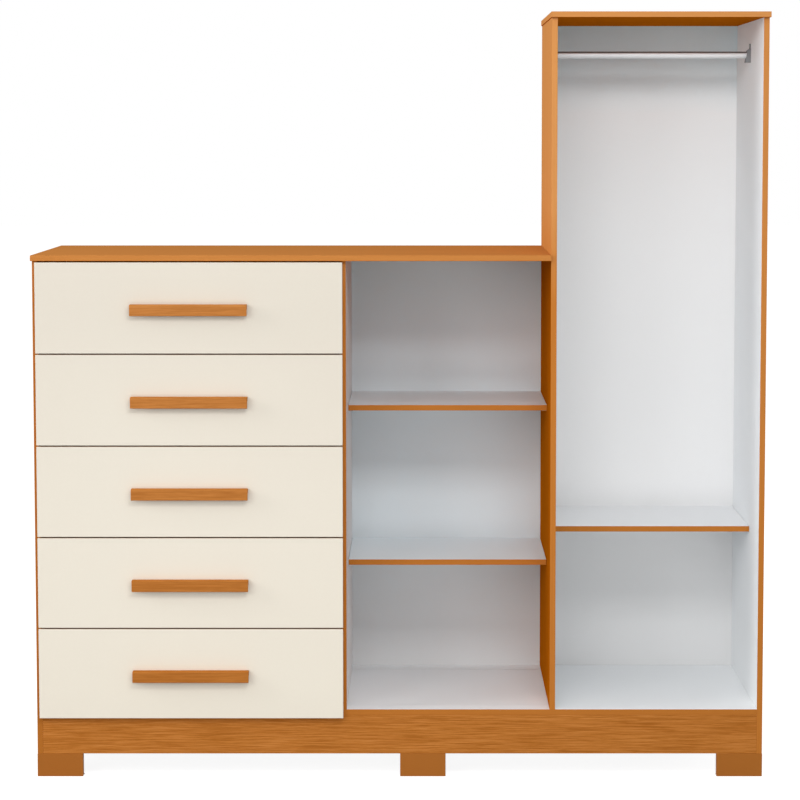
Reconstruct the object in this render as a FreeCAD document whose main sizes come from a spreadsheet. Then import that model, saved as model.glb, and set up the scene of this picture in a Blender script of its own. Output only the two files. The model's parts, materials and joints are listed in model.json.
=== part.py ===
import FreeCAD, Part
import math
import os
import re

import Sketcher

# Bedroom storage unit of three bays on one plinth: a chest of five drawers on the left, an open niche with
# two shelves in the middle under the same low top, and a taller open hanging bay with a rail on the right.
# Millimetres. X runs to the right, Y away from the person who faces it, Z up. The origin lies on the floor,
# under the middle of the box that the whole unit fills.

DRAWER_COUNT = 5

SIZES = {
    # boards, bays and their heights
    "board": 12,
    "back_sheet": 3,
    "carcass_depth": 440,
    "drawer_bay_width": 642,
    "niche_width": 436,
    "hanging_width": 434,
    "chest_bay_height": 966,
    "hanging_bay_height": 1479,
    "plinth_height": 84.5,
    "front_overhang": 13,
    "end_overhang": 2,
    "sheet_gap": 1,
    # shelves: front edge behind the carcass front, and top faces above the base panel
    "shelf_setback": 150,
    "shelf_end_gap": 0.5,
    "upper_shelf_rise": 641.5,
    "lower_shelf_rise": 299.5,
    "hanging_shelf_rise": 373.5,
    # feet
    "foot_height": 50,
    "foot_width": 98,
    "foot_wall": 16,
    "foot_proud": 0.5,
    "foot_rounding": 1,
    "foot_tab_height": 30,
    "foot_tab_length": 60,
    "foot_screw_edge": 14,
    "middle_foot_place": 49.7,
    # drawer fronts and handles
    "front_board": 12,
    "front_standoff": 1,
    "front_lap": 5,
    "front_gap": 2.8,
    "front_drop": 16.5,
    "handle_length": 248,
    "handle_height": 24,
    "handle_depth": 18,
    "handle_flange": 10,
    "handle_lip": 7,
    "handle_rounding": 1.5,
    "handle_drop": 4,
    "handle_screw_spacing": 192,
    # drawer boxes
    "drawer_board": 12,
    "drawer_bottom_sheet": 3,
    "drawer_depth": 400,
    "drawer_height": 140,
    "drawer_rise": 22.5,
    "drawer_side_gap": 3,
    "bottom_rise": 8,
    "groove_depth": 5,
    "groove_clearance": 0.2,
    "back_screw_low": 34,
    "back_screw_high": 112,
    "cam_low": 30,
    "cam_high": 108,
    # runner strips
    "runner_length": 380,
    "runner_height": 14,
    "runner_thickness": 8,
    "runner_setback": 12,
    "runner_rise": 72,
    "runner_clearance": 0.3,
    "runner_stop_gap": 0.5,
    "runner_screw_spacing": 300,
    # hanging rail and its brackets
    "rail_radius": 7.5,
    "rail_wall": 1.2,
    "rail_rise": 1406.5,
    "rail_setback": 213,
    "rail_end_gap": 1,
    "rail_clearance": 0.3,
    "bracket_plate": 2.4,
    "bracket_tab_width": 12,
    "bracket_reach": 11.5,
    "bracket_below": 16.5,
    "bracket_above": 24.5,
    "cup_above": 9,
    "cup_width": 22,
    "cup_top_reach": 8,
    "cup_peak": 13.5,
    "bracket_screw_rise": 19,
    # fixings: radius, length, head radius, neck radius under the head, head height and recess of each kind
    "recess_width": 1.1,
    "recess_depth": 1.2,
    "panel_screw_radius": 2.5,
    "panel_screw_length": 45,
    "panel_screw_head": 4.75,
    "panel_screw_head_height": 3,
    "panel_screw_recess": 5,
    "panel_screw_edge": 50,
    "plinth_screw_edge": 28,
    "drawer_screw_radius": 2,
    "drawer_screw_length": 38,
    "drawer_screw_head": 4,
    "drawer_screw_head_height": 2.4,
    "drawer_screw_recess": 4.4,
    "small_screw_radius": 1.75,
    "small_screw_grip": 8.5,
    "small_screw_head": 3.5,
    "small_screw_head_height": 2,
    "small_screw_recess": 4,
    "handle_screw_radius": 2,
    "handle_screw_grip": 10,
    "handle_screw_head": 4.5,
    "handle_screw_dome": 3,
    "handle_screw_head_height": 2.5,
    "handle_screw_recess": 4.4,
    "nail_radius": 0.7,
    "nail_length": 18,
    "nail_head": 1.8,
    "nail_neck": 1.6,
    "nail_head_height": 0.8,
    "nail_edge": 45,
    "nail_offset": 3,
    "cam_radius": 6,
    "cam_depth": 9.5,
    "cam_setback": 24,
    "cam_edge": 60,
    "cam_slot_width": 1.5,
    "cam_slot_depth": 1.5,
    "cam_slot_length": 9,
    "bolt_radius": 3,
    "bolt_reach": 8,
    "pin_radius": 2.5,
    "pin_in_panel": 5.5,
    "pin_under_shelf": 9,
    "pin_edge": 37,
    "hole_clearance": 0.1,
    "overrun": 5,
}

PLACES = {
    # planes of the carcass from left to right
    "left_face": "-(4 * board + drawer_bay_width + niche_width + hanging_width) / 2",
    "drawer_bay_left": "left_face + board",
    "drawer_bay_right": "drawer_bay_left + drawer_bay_width",
    "niche_left": "drawer_bay_right + board",
    "niche_right": "niche_left + niche_width",
    "hanging_left": "niche_right + board",
    "hanging_right": "hanging_left + hanging_width",
    "right_face": "hanging_right + board",
    "divider_middle": "drawer_bay_right + board / 2",
    "tall_left_middle": "niche_right + board / 2",
    "drawer_bay_middle": "(drawer_bay_left + drawer_bay_right) / 2",
    # planes from front to back
    "overall_depth": "handle_depth + front_board + front_standoff + carcass_depth + back_sheet",
    "back_face": "overall_depth / 2",
    "carcass_rear": "back_face - back_sheet",
    "carcass_front": "carcass_rear - carcass_depth",
    "shelf_front": "carcass_front + shelf_setback",
    "front_rear_face": "carcass_front - front_standoff",
    "front_face": "front_rear_face - front_board",
    # levels from the floor up
    "base_underside": "foot_height + plinth_height",
    "base_top": "base_underside + board",
    "chest_ceiling": "base_top + chest_bay_height",
    "hanging_ceiling": "base_top + hanging_bay_height",
    # drawers
    "front_bottom": "base_top - front_drop",
    "drawer_pitch": f"(chest_ceiling - front_bottom) / {DRAWER_COUNT}",
    "front_height": "drawer_pitch - front_gap",
    "drawer_left": "drawer_bay_left + drawer_side_gap",
    "drawer_right": "drawer_bay_right - drawer_side_gap",
    "drawer_inner_left": "drawer_left + drawer_board",
    "drawer_inner_right": "drawer_right - drawer_board",
    "drawer_rear": "front_rear_face + drawer_depth",
    "runner_middle": "carcass_front + runner_setback + runner_length / 2",
    "runner_groove_depth": "runner_thickness - drawer_side_gap + runner_clearance",
    "runner_groove_front": "carcass_front + runner_setback - runner_stop_gap",
    # feet and rail
    "foot_tab": "foot_wall - foot_proud - board",
    "rail_height": "base_top + rail_rise",
    "rail_place": "carcass_front + rail_setback",
}

doc = FreeCAD.newDocument("bedroom_unit")


def qualified(text, home=""):
    """The expression with each named size or place given the name of the sheet that holds it."""
    def with_sheet(match):
        name = match.group(0)
        for sheet, names in (("Sizes", SIZES), ("Places", PLACES)):
            if name in names and sheet != home:
                return f"{sheet}.{name}"
        return name
    return re.sub(r"[a-z_]+", with_sheet, text)


def write_sheet(sheet_name, rows):
    """A spreadsheet with a name in each row's first cell and its value in the second, under that alias."""
    sheet = doc.addObject("Spreadsheet::Sheet", sheet_name)
    for row, (name, value) in enumerate(rows.items(), start=1):
        sheet.set(f"A{row}", name)
        text = "=" + qualified(value, sheet_name) if isinstance(value, str) else str(value)
        sheet.set(f"B{row}", text)
        sheet.setAlias(f"B{row}", name)
    return sheet


sizes_sheet = write_sheet("Sizes", SIZES)
places_sheet = write_sheet("Places", PLACES)
doc.recompute()

UP = FreeCAD.Rotation()
DOWN = FreeCAD.Rotation(FreeCAD.Vector(1, 0, 0), 180)
RIGHT = FreeCAD.Rotation(FreeCAD.Vector(0, 1, 0), 90)
LEFT = FreeCAD.Rotation(FreeCAD.Vector(0, 1, 0), -90)
FORWARD = FreeCAD.Rotation(FreeCAD.Vector(1, 0, 0), 90)


def turned(degrees):
    """A turn about the upright axis."""
    return FreeCAD.Rotation(FreeCAD.Vector(0, 0, 1), degrees)


def bind(item, **expressions):
    """Tie the item's properties to the named sizes."""
    for name, text in expressions.items():
        item.setExpression(name, qualified(text))


def put(item, x, y, z):
    """Tie the item's place to the named sizes and keep its rotation."""
    for axis, text in zip("xyz", (x, y, z)):
        item.setExpression(f"Placement.Base.{axis}", qualified(text))
    return item


def box(name, x, y, z):
    """A box whose x, y and z are each a pair of expressions: from and to."""
    item = doc.addObject("Part::Box", name)
    for side, (low, high) in zip(("Length", "Width", "Height"), (x, y, z)):
        bind(item, **{side: f"({high}) - ({low})"})
    return put(item, x[0], y[0], z[0])


def cylinder(name, radius, start, end, rotation=UP):
    """A cylinder along the rotation's axis, from start to end measured from the origin."""
    item = doc.addObject("Part::Cylinder", name)
    item.Placement = FreeCAD.Placement(FreeCAD.Vector(), rotation)
    bind(item, Radius=radius, Height=f"({end}) - ({start})")
    way = rotation.multVec(FreeCAD.Vector(0, 0, 1))
    return put(item, *[f"{round(part)} * ({start})" for part in way])


def cone(name, low_radius, high_radius, start, end):
    """A cone along Z between two heights."""
    item = doc.addObject("Part::Cone", name)
    bind(item, Radius1=low_radius, Radius2=high_radius, Height=f"({end}) - ({start})")
    return put(item, "0", "0", start)


def fused(name, items):
    """One item from several that touch or overlap."""
    if len(items) == 1:
        return items[0]
    item = doc.addObject("Part::MultiFuse", name)
    item.Shapes = items
    return item


def grouped(name, items):
    """Several items in one node, each still a solid of its own."""
    item = doc.addObject("Part::Compound", name)
    item.Links = items
    return item


def cut(name, blank, tools):
    """The blank with the tools taken out of it."""
    item = doc.addObject("Part::Cut", name)
    item.Base = blank
    item.Tool = fused(f"{name}_tools", tools)
    return item


def copy_of(master, rotation, x, y, z):
    """A linked copy of a master item at a place of its own."""
    link = doc.addObject("App::Link", f"{master.Name}_copy")
    link.LinkedObject = master
    link.LinkTransform = True
    link.Placement = FreeCAD.Placement(FreeCAD.Vector(), rotation)
    return put(link, x, y, z)


# Fixings. Each kind has a solid and the hole that it needs. Both start at the surface that the fixing is
# driven into, at their origin, and run along Z into the wood.


def cross_recess(name, length, face):
    """The two bars of the driver's cross, cut into a screw head whose outer face is at the given height."""
    arm = (f"-{length} / 2", f"{length} / 2")
    thickness = ("-recess_width / 2", "recess_width / 2")
    depth = (f"{face} - overrun", f"{face} + recess_depth")
    return [box(f"{name}_recess_across", arm, thickness, depth),
            box(f"{name}_recess_along", thickness, arm, depth)]


def countersunk(name, radius, length, head, neck, head_height, recess=None):
    """A screw or nail whose head lies flush in the surface. Only a screw has a recess."""
    solid = fused(f"{name}_solid", [
        cylinder(f"{name}_shank", radius, "0", length),
        cone(f"{name}_head", head, neck, "0", head_height),
    ])
    if recess:
        solid = cut(name, solid, cross_recess(name, recess, "0"))
    hole = fused(f"{name}_hole", [
        cylinder(f"{name}_bore", f"{radius} + hole_clearance", "-overrun", f"{length} + hole_clearance"),
        cone(f"{name}_sink", f"{head} + hole_clearance", f"{neck} + hole_clearance", "0", head_height),
    ])
    return solid, hole


def handle_screw_kind():
    """The screw that holds a handle: its domed head stands on the rear face of the drawer front."""
    length = "front_board + handle_screw_grip"
    face = "-handle_screw_head_height"
    solid = fused("handle_screw_solid", [
        cylinder("handle_screw_shank", "handle_screw_radius", "0", length),
        cone("handle_screw_head", "handle_screw_dome", "handle_screw_head", face, "0"),
    ])
    screw = cut("handle_screw", solid, cross_recess("handle_screw", "handle_screw_recess", face))
    hole = cylinder("handle_screw_bore", "handle_screw_radius + hole_clearance", "-overrun",
                    f"{length} + hole_clearance")
    return screw, hole


def cam_fitting_kind():
    """A bolt across a joint and the round cam that pulls it tight, set in the face of the first board.

    The origin is in the joint, in the middle of the board's thickness. The bolt runs along Z into the
    second board, and the cam opens towards X.
    """
    cam_floor = "board / 2 - cam_depth"
    bolt = cylinder("cam_bolt", "bolt_radius", "-cam_setback", "bolt_reach")
    bore = cylinder("cam_bolt_bore", "bolt_radius + hole_clearance",
                    "-(cam_setback + hole_clearance)", "bolt_reach + hole_clearance")
    barrel = cylinder("cam_barrel", "cam_radius", cam_floor, "board / 2", RIGHT)
    put(barrel, cam_floor, "0", "-cam_setback")
    slot = box("cam_slot", ("board / 2 - cam_slot_depth", "board / 2 + overrun"),
               ("-cam_slot_length / 2", "cam_slot_length / 2"),
               ("-cam_setback - cam_slot_width / 2", "-cam_setback + cam_slot_width / 2"))
    cam = cut("cam", barrel, [bore, slot])
    pocket = cylinder("cam_pocket", "cam_radius + hole_clearance", f"{cam_floor} - hole_clearance",
                      "board / 2 + overrun", RIGHT)
    put(pocket, f"{cam_floor} - hole_clearance", "0", "-cam_setback")
    return grouped("cam_fitting", [bolt, cam]), fused("cam_fitting_hole", [bore, pocket])


def shelf_pin_kind():
    """A plain pin, half in the panel and half under the shelf. Its origin is on the panel's face."""
    pin = cylinder("shelf_pin", "pin_radius", "-pin_under_shelf", "pin_in_panel")
    hole = cylinder("shelf_pin_bore", "pin_radius + hole_clearance", "-overrun",
                    "pin_in_panel + hole_clearance")
    return pin, hole


PANEL_SCREW = countersunk("panel_screw", "panel_screw_radius", "panel_screw_length", "panel_screw_head",
                          "panel_screw_radius", "panel_screw_head_height", "panel_screw_recess")
DRAWER_SCREW = countersunk("drawer_screw", "drawer_screw_radius", "drawer_screw_length",
                           "drawer_screw_head", "drawer_screw_radius", "drawer_screw_head_height",
                           "drawer_screw_recess")
NAIL = countersunk("nail", "nail_radius", "nail_length", "nail_head", "nail_neck", "nail_head_height")


def small_screw(name, plate):
    """The small screw that holds a fitting of the given thickness to a board."""
    return countersunk(name, "small_screw_radius", f"{plate} + small_screw_grip", "small_screw_head",
                       "small_screw_radius", "small_screw_head_height", "small_screw_recess")


RUNNER_SCREW = small_screw("runner_screw", "runner_thickness")
FOOT_SCREW = small_screw("foot_screw", "foot_tab")
BRACKET_SCREW = small_screw("bracket_screw", "bracket_plate")
HANDLE_SCREW = handle_screw_kind()
CAM_FITTING = cam_fitting_kind()
SHELF_PIN = shelf_pin_kind()

blanks = {}
tools_of = {}
groups = {}


def drive(kind, group, boards, rotation, x, y, z):
    """Put one fixing into a group of fixings, and its hole into each board that it passes."""
    solid, hole = kind
    groups.setdefault(group, []).append(copy_of(solid, rotation, x, y, z))
    tool = copy_of(hole, rotation, x, y, z)
    for board in boards:
        tools_of.setdefault(board, []).append(tool)


def fitted_set(name, kind, places):
    """The fixings of one fitting and their holes, each as one item, in the fitting's own frame."""
    solid, hole = kind
    screws = grouped(f"{name}_screws", [copy_of(solid, *place) for place in places])
    holes = fused(f"{name}_holes", [copy_of(hole, *place) for place in places])
    return screws, holes


def sketch_on(body, role, name):
    """A sketch on one of the body's own origin planes."""
    plane = next(item for item in body.Origin.OriginFeatures if item.Role == role)
    sketch = body.newObject("Sketcher::SketchObject", name)
    sketch.AttachmentSupport = [(plane, "")]
    sketch.MapMode = "FlatFace"
    return sketch


def number(text):
    """What an expression of named sizes comes to."""
    return float(places_sheet.evalExpression(qualified(text, "Places")))


def outline(sketch, points):
    """A closed outline through points given as expressions, each held by two constraints."""
    corners = [FreeCAD.Vector(number(across), number(along), 0) for across, along in points]
    for start, end in zip(corners, corners[1:] + corners[:1]):
        sketch.addGeometry(Part.LineSegment(start, end))
    count = len(points)
    for index in range(count):
        sketch.addConstraint(Sketcher.Constraint("Coincident", index, 2, (index + 1) % count, 1))
    for index, (across, along) in enumerate(points):
        for kind, text in (("DistanceX", across), ("DistanceY", along)):
            held = sketch.addConstraint(Sketcher.Constraint(kind, -1, 1, index, 1, number(text)))
            sketch.setExpression(f"Constraints[{held}]", qualified(text))


def rings(sketch, radii):
    """Circles about the sketch's origin, each with its radius held by an expression."""
    for index, radius in enumerate(radii):
        sketch.addGeometry(Part.Circle(FreeCAD.Vector(), FreeCAD.Vector(0, 0, 1), number(radius)))
        sketch.addConstraint(Sketcher.Constraint("Coincident", index, 3, -1, 1))
        held = sketch.addConstraint(Sketcher.Constraint("Radius", index, number(radius)))
        sketch.setExpression(f"Constraints[{held}]", qualified(radius))


def pad(body, sketch, name, length, both_ways=False):
    """The sketch made solid over a length."""
    item = body.newObject("PartDesign::Pad", name)
    item.Profile = sketch
    item.Midplane = both_ways
    bind(item, Length=length)
    return item


def rounded(body, feature, name, radius, chosen):
    """The body's edges that pass the test, rounded."""
    doc.recompute()
    edges = [f"Edge{index}" for index, edge in enumerate(feature.Shape.Edges, start=1) if chosen(edge)]
    item = body.newObject("PartDesign::Fillet", name)
    item.Base = (feature, edges)
    bind(item, Radius=radius)
    return item


def lies_at(edge, **places):
    """Whether all of the edge lies at the given places, each the name of an axis and an expression."""
    limits = edge.BoundBox
    spans = {
        "x": (limits.XMin, limits.XMax),
        "y": (limits.YMin, limits.YMax),
        "z": (limits.ZMin, limits.ZMax),
    }
    return all(math.isclose(bound, number(text), abs_tol=1e-6)
               for axis, text in places.items() for bound in spans[axis])


# Carcass


def carcass_panels():
    """Upright panels, base, plinths and tops, as blanks."""
    depth = ("carcass_front", "carcass_rear")
    top_depth = ("carcass_front - front_overhang", "back_face")
    inside = ("drawer_bay_left", "hanging_right")
    under = ("foot_height", "base_underside")
    boards = {
        "left_side_panel": (("left_face", "drawer_bay_left"), depth, ("foot_height", "chest_ceiling")),
        "drawer_divider": (("drawer_bay_right", "niche_left"), depth, ("base_top", "chest_ceiling")),
        "tall_left_panel": (("niche_right", "hanging_left"), depth, ("base_top", "hanging_ceiling")),
        "tall_right_panel": (("hanging_right", "right_face"), depth, ("foot_height", "hanging_ceiling")),
        "base_panel": (inside, depth, ("base_underside", "base_top")),
        "front_plinth": (inside, ("carcass_front", "carcass_front + board"), under),
        "rear_plinth": (inside, ("carcass_rear - board", "carcass_rear"), under),
        "chest_top": (("left_face - end_overhang", "niche_right"), top_depth,
                      ("chest_ceiling", "chest_ceiling + board")),
        "tall_top": (("niche_right - end_overhang", "right_face + end_overhang"), top_depth,
                     ("hanging_ceiling", "hanging_ceiling + board")),
    }
    for name, spans in boards.items():
        blanks[name] = box(f"{name}_blank", *spans)


def shelves():
    """The three shelves, each on four pins."""
    bays = {
        "upper_niche_shelf": ("niche_left", "niche_right", "upper_shelf_rise",
                              ("drawer_divider", "tall_left_panel")),
        "lower_niche_shelf": ("niche_left", "niche_right", "lower_shelf_rise",
                              ("drawer_divider", "tall_left_panel")),
        "hanging_bay_shelf": ("hanging_left", "hanging_right", "hanging_shelf_rise",
                              ("tall_left_panel", "tall_right_panel")),
    }
    for name, (left, right, rise, (left_panel, right_panel)) in bays.items():
        blanks[name] = box(f"{name}_blank", (f"{left} + shelf_end_gap", f"{right} - shelf_end_gap"),
                           ("shelf_front", "carcass_rear"),
                           (f"base_top + {rise} - board", f"base_top + {rise}"))
        pin_height = f"base_top + {rise} - board - pin_radius"
        for y in ("shelf_front + pin_edge", "carcass_rear - pin_edge"):
            drive(SHELF_PIN, "shelf_pins", [left_panel], LEFT, left, y, pin_height)
            drive(SHELF_PIN, "shelf_pins", [right_panel], RIGHT, right, y, pin_height)


def back_sheets():
    """The back of each bay, nailed to the rear edges of the boards round it."""
    bays = {
        "drawer_bay_back": ("left_face", "divider_middle - sheet_gap / 2", "chest_ceiling"),
        "niche_back": ("divider_middle + sheet_gap / 2", "tall_left_middle - sheet_gap / 2",
                       "chest_ceiling"),
        "hanging_bay_back": ("tall_left_middle + sheet_gap / 2", "right_face", "hanging_ceiling"),
    }
    for name, (left, right, ceiling) in bays.items():
        blanks[name] = box(f"{name}_blank", (left, right), ("carcass_rear", "back_face"),
                           ("base_underside", ceiling))


def even(low, high, count, edge):
    """Evenly spread places between two planes, the first and last an edge distance inside them."""
    for index in range(count):
        yield f"({low}) + {edge} + {index} * (({high}) - ({low}) - 2 * {edge}) / {count - 1}"


def nails():
    """Nails through the back sheets: up the panels, along the base and into the shelves' rear edges."""
    columns = [
        ("drawer_bay_back", "left_side_panel", "left_face + board / 2", "chest_ceiling", 7),
        ("drawer_bay_back", "drawer_divider", "divider_middle - nail_offset", "chest_ceiling", 7),
        ("niche_back", "drawer_divider", "divider_middle + nail_offset", "chest_ceiling", 7),
        ("niche_back", "tall_left_panel", "tall_left_middle - nail_offset", "chest_ceiling", 7),
        ("hanging_bay_back", "tall_left_panel", "tall_left_middle + nail_offset", "hanging_ceiling", 10),
        ("hanging_bay_back", "tall_right_panel", "right_face - board / 2", "hanging_ceiling", 10),
    ]
    for sheet, panel, x, ceiling, count in columns:
        for z in even("base_top", ceiling, count, "nail_edge"):
            drive(NAIL, "back_nails", [sheet, panel], FORWARD, x, "back_face", z)
    base_height = "base_underside + board / 2"
    rows = [
        ("drawer_bay_back", "base_panel", "drawer_bay_left", "drawer_bay_right", base_height, 4),
        ("niche_back", "base_panel", "niche_left", "niche_right", base_height, 3),
        ("hanging_bay_back", "base_panel", "hanging_left", "hanging_right", base_height, 3),
        ("niche_back", "upper_niche_shelf", "niche_left", "niche_right",
         "base_top + upper_shelf_rise - board / 2", 3),
        ("niche_back", "lower_niche_shelf", "niche_left", "niche_right",
         "base_top + lower_shelf_rise - board / 2", 3),
        ("hanging_bay_back", "hanging_bay_shelf", "hanging_left", "hanging_right",
         "base_top + hanging_shelf_rise - board / 2", 3),
    ]
    for sheet, board, left, right, z, count in rows:
        for x in even(left, right, count, "nail_edge"):
            drive(NAIL, "back_nails", [sheet, board], FORWARD, x, "back_face", z)


def panel_screws():
    """The long screws that hold the carcass together."""
    depth_places = list(even("carcass_front", "carcass_rear", 3, "panel_screw_edge"))
    sides = (("left_side_panel", RIGHT, "left_face"), ("tall_right_panel", LEFT, "right_face"))
    for panel, way, x in sides:
        for y in depth_places:
            drive(PANEL_SCREW, "panel_screws", [panel, "base_panel"], way, x, y,
                  "base_underside + board / 2")
        for plinth, y in (("front_plinth", "carcass_front + board / 2"),
                          ("rear_plinth", "carcass_rear - board / 2")):
            for z in even("foot_height", "base_underside", 2, "plinth_screw_edge"):
                drive(PANEL_SCREW, "panel_screws", [panel, plinth], way, x, y, z)
    for panel, x in (("drawer_divider", "divider_middle"), ("tall_left_panel", "tall_left_middle")):
        for y in depth_places:
            drive(PANEL_SCREW, "panel_screws", ["base_panel", panel], UP, x, y, "base_underside")
    for panel, x in (("tall_left_panel", "tall_left_middle"),
                     ("tall_right_panel", "right_face - board / 2")):
        for y in depth_places:
            drive(PANEL_SCREW, "panel_screws", ["tall_top", panel], DOWN, x, y, "hanging_ceiling + board")


def chest_top_fittings():
    """Cam fittings under the low top, where no screw head may show from above."""
    for y in ("carcass_front + cam_edge", "carcass_rear - cam_edge"):
        drive(CAM_FITTING, "cam_fittings", ["left_side_panel", "chest_top"], UP,
              "left_face + board / 2", y, "chest_ceiling")
        drive(CAM_FITTING, "cam_fittings", ["drawer_divider", "chest_top"], turned(180),
              "divider_middle", y, "chest_ceiling")
        drive(CAM_FITTING, "cam_fittings", ["chest_top", "tall_left_panel"], RIGHT,
              "niche_right", y, "chest_ceiling + board / 2")


# Feet


def foot_body(name, walls, tab, rounded_ends):
    """A moulded foot: walls under the carcass and a thin tab that stands up inside it."""
    body = doc.addObject("PartDesign::Body", name)
    wall_sketch = sketch_on(body, "XY_Plane", f"{name}_wall_outline")
    outline(wall_sketch, walls)
    wall_pad = pad(body, wall_sketch, f"{name}_walls", "foot_height")
    tab_sketch = sketch_on(body, "XY_Plane", f"{name}_tab_outline")
    outline(tab_sketch, tab)
    tab_pad = pad(body, tab_sketch, f"{name}_tab", "foot_height + foot_tab_height")
    wall_sketch.Visibility = False
    rounded(body, tab_pad, f"{name}_soft_ends", "foot_rounding",
            lambda edge: any(lies_at(edge, z="0", **end) for end in rounded_ends))
    return body


def angle_outline(corner, reach, thickness):
    """The outline of an equal angle whose outer corner lies at the given offset along X and Y."""
    inner = f"{corner} + {thickness}"
    return [(corner, corner), (reach, corner), (reach, inner),
            (inner, inner), (inner, reach), (corner, reach)]


def feet():
    """Four corner feet and two feet near the middle, with the small screws in their tabs."""
    tab_start = "foot_proud + board"
    tab_reach = f"({tab_start} + foot_tab_length)"
    inner_face = f"{tab_start} + foot_tab"
    screw_height = "foot_height + foot_tab_height / 2"
    corner = foot_body("corner_foot_body", angle_outline("0", "foot_width", "foot_wall"),
                       angle_outline(tab_start, tab_reach, "foot_tab"),
                       [{"x": "foot_width"}, {"y": "foot_width"}])
    along = [f"{inner_face} + foot_screw_edge", f"{tab_reach} - foot_screw_edge"]
    corner_screws, corner_holes = fitted_set("corner_foot", FOOT_SCREW, [
        place for distance in along for place in (
            (FORWARD, distance, inner_face, screw_height),
            (LEFT, inner_face, distance, screw_height))])
    corner_foot = cut("corner_foot", corner, [corner_holes])
    left, right = "left_face - foot_proud", "right_face + foot_proud"
    front, rear = "carcass_front - foot_proud", "carcass_rear + foot_proud"
    corners = [
        (0, left, front, "left_side_panel", "front_plinth"),
        (90, right, front, "tall_right_panel", "front_plinth"),
        (180, right, rear, "tall_right_panel", "rear_plinth"),
        (270, left, rear, "left_side_panel", "rear_plinth"),
    ]
    corner_feet = []
    screws = groups.setdefault("small_screws", [])
    for degrees, x, y, panel, plinth in corners:
        corner_feet.append(copy_of(corner_foot, turned(degrees), x, y, "0"))
        screws.append(copy_of(corner_screws, turned(degrees), x, y, "0"))
        for board in (panel, plinth):
            tools_of.setdefault(board, []).append(copy_of(corner_holes, turned(degrees), x, y, "0"))
    grouped("corner_feet", corner_feet)

    middle = foot_body("middle_foot_body",
                       [("-foot_width / 2", "0"), ("foot_width / 2", "0"),
                        ("foot_width / 2", "foot_wall"), ("-foot_width / 2", "foot_wall")],
                       [("-foot_tab_length / 2", tab_start), ("foot_tab_length / 2", tab_start),
                        ("foot_tab_length / 2", inner_face), ("-foot_tab_length / 2", inner_face)],
                       [{"x": "-foot_width / 2"}, {"x": "foot_width / 2"}])
    spread = "foot_tab_length / 2 - foot_screw_edge"
    middle_screws, middle_holes = fitted_set("middle_foot", FOOT_SCREW, [
        (FORWARD, f"{side} * ({spread})", inner_face, screw_height) for side in (-1, 1)])
    middle_foot = cut("middle_foot", middle, [middle_holes])
    middle_feet = []
    for degrees, y, plinth in ((0, front, "front_plinth"), (180, rear, "rear_plinth")):
        middle_feet.append(copy_of(middle_foot, turned(degrees), "middle_foot_place", y, "0"))
        screws.append(copy_of(middle_screws, turned(degrees), "middle_foot_place", y, "0"))
        tools_of.setdefault(plinth, []).append(
            copy_of(middle_holes, turned(degrees), "middle_foot_place", y, "0"))
    grouped("middle_feet", middle_feet)


# Hanging rail


def rail_bracket_body():
    """A slim wall plate with an open cup for the rail's end. The cup reaches further out at its foot.

    Its origin is on the wall at the rail's centre.
    """
    body = doc.addObject("PartDesign::Body", "rail_bracket_body")
    half = "bracket_tab_width / 2"
    plate_sketch = sketch_on(body, "YZ_Plane", "bracket_plate_outline")
    outline(plate_sketch, [(f"-{half}", "-bracket_below"), (half, "-bracket_below"),
                           (half, "bracket_above"), (f"-{half}", "bracket_above")])
    pad(body, plate_sketch, "bracket_plate_pad", "bracket_plate")
    cup_sketch = sketch_on(body, "XZ_Plane", "bracket_cup_outline")
    outline(cup_sketch, [("0", "-bracket_below"), ("bracket_reach", "-bracket_below"),
                         ("cup_top_reach", "cup_above"), ("bracket_plate", "cup_peak"), ("0", "cup_peak")])
    pad(body, cup_sketch, "bracket_cup_pad", "cup_width", both_ways=True)
    return body


def hanging_rail():
    """The round tube and the two brackets that carry its ends."""
    cradle = cylinder("rail_cradle", "rail_radius + rail_clearance", "bracket_plate",
                      "bracket_reach + overrun", RIGHT)
    mouth = box("rail_mouth", ("bracket_plate", "bracket_reach + overrun"),
                ("-(rail_radius + rail_clearance)", "rail_radius + rail_clearance"),
                ("0", "bracket_above + overrun"))
    screws, holes = fitted_set("rail_bracket", BRACKET_SCREW, [
        (LEFT, "bracket_plate", "0", height) for height in ("0", "bracket_screw_rise")])
    bracket = cut("rail_bracket", rail_bracket_body(), [cradle, mouth, holes])
    ends = ((0, "hanging_left", "tall_left_panel"), (180, "hanging_right", "tall_right_panel"))
    brackets = []
    for degrees, x, panel in ends:
        brackets.append(copy_of(bracket, turned(degrees), x, "rail_place", "rail_height"))
        groups["small_screws"].append(copy_of(screws, turned(degrees), x, "rail_place", "rail_height"))
        tools_of.setdefault(panel, []).append(
            copy_of(holes, turned(degrees), x, "rail_place", "rail_height"))
    grouped("rail_brackets", brackets)

    rail = doc.addObject("PartDesign::Body", "hanging_rail")
    ring = sketch_on(rail, "YZ_Plane", "rail_ring")
    rings(ring, ["rail_radius", "rail_radius - rail_wall"])
    pad(rail, ring, "rail_tube", "hanging_width - 2 * (bracket_plate + rail_end_gap)")
    put(rail, "hanging_left + bracket_plate + rail_end_gap", "rail_place", "rail_height")


# Drawers


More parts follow.
